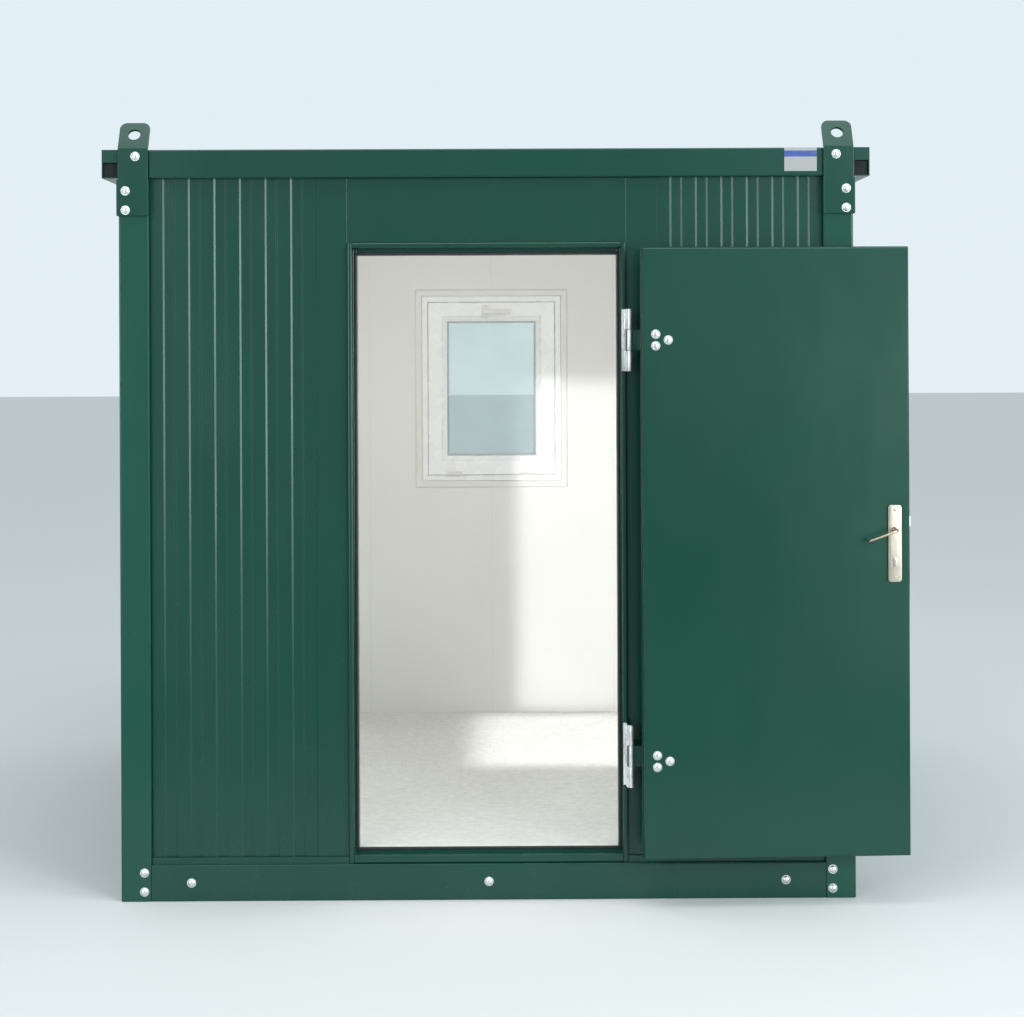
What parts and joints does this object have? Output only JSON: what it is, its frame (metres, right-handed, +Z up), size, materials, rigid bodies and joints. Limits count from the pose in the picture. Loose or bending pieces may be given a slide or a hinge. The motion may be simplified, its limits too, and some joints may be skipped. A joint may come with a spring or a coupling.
{
  "type": "portable site cabin",
  "caption": "Square portable steel cabin with ribbed insulated walls, lifting lugs, an outward-opening steel door with a lever handle, and a tilt window in the rear wall.",
  "frame": {"origin": "on the ground at the middle of the base, on the underside of the middle floor bearer", "axes": "+Z up, front wall with the door faces -Y, +X to the right seen from the front"},
  "size_m": [2.6621, 2.5891, 2.5871],
  "materials": {
    "green_frame": "gloss, moss green",
    "wall_sheet": "gloss coated sheet, moss green outside and off-white inside",
    "door_steel": "gloss, moss green",
    "floor_deck": "satin sheet flooring",
    "white_lining": "satin",
    "black_plastic": "matt",
    "seal_rubber": "matt",
    "zinc_steel": "zinc plated",
    "handle_metal": "satin, pale champagne",
    "window_plastic": "semi-gloss",
    "window_glazing": "clear double glazing",
    "label_face": "gloss, plain with one coloured band"
  },
  "bodies": {
    "cabin": {"base_beam_front": "green_frame", "base_beam_rear": "green_frame", "base_beams_side": "green_frame", "floor_bearers": "green_frame", "floor_panel": "floor_deck", "corner_post_front_left": "green_frame", "corner_post_front_right": "green_frame", "corner_post_rear_left": "green_frame", "corner_post_rear_right": "green_frame", "roof_beam_front": "green_frame", "roof_beam_rear": "green_frame", "roof_beams_side": "green_frame", "roof_rail_left": "green_frame", "roof_rail_right": "green_frame", "rail_end_plugs": "black_plastic", "roof_sheet": "green_frame", "ceiling_panel": "white_lining", "lifting_lugs_front": "green_frame", "lifting_lugs_rear": "green_frame", "front_wall_left": "wall_sheet", "front_wall_right": "wall_sheet", "door_surround_sides": "wall_sheet", "door_surround_head": "wall_sheet", "side_wall_left": "wall_sheet", "side_wall_right": "wall_sheet", "rear_wall_left": "wall_sheet", "rear_wall_right": "wall_sheet", "rear_wall_under_window": "wall_sheet", "rear_wall_over_window": "wall_sheet", "door_jambs": "door_steel", "door_head": "door_steel", "door_threshold": "door_steel", "door_seal": "seal_rubber", "hinge_frame_halves": "zinc_steel", "window_frame": "window_plastic", "window_sash": "window_plastic", "window_glass": "window_glazing", "window_casing": "window_plastic", "window_outer_trim": "door_steel", "window_fittings": "window_plastic", "label_plate": "label_face"},
    "door": {"door_leaf": "door_steel", "hinge_door_halves": "zinc_steel", "handle_plates": "handle_metal", "lock_faceplate": "zinc_steel"},
    "lever": {"lever_handles": "handle_metal"}
  },
  "joints": [
    {"name": "door_hinge", "type": "hinge", "parent": "cabin", "child": "door", "pos_m": [0.472, -1.249, 1.16], "axis": [0, 0, 1], "range_deg": [-182, 0]},
    {"name": "lever_turn", "type": "hinge", "parent": "door", "child": "lever", "pos_m": [1.33357, -1.27895, 1.231], "axis": [0.0349, -0.9994, 0], "range_deg": [0, 30], "stiffness_Nm_per_rad": 1.5, "springref_deg": -28.65}
  ]
}
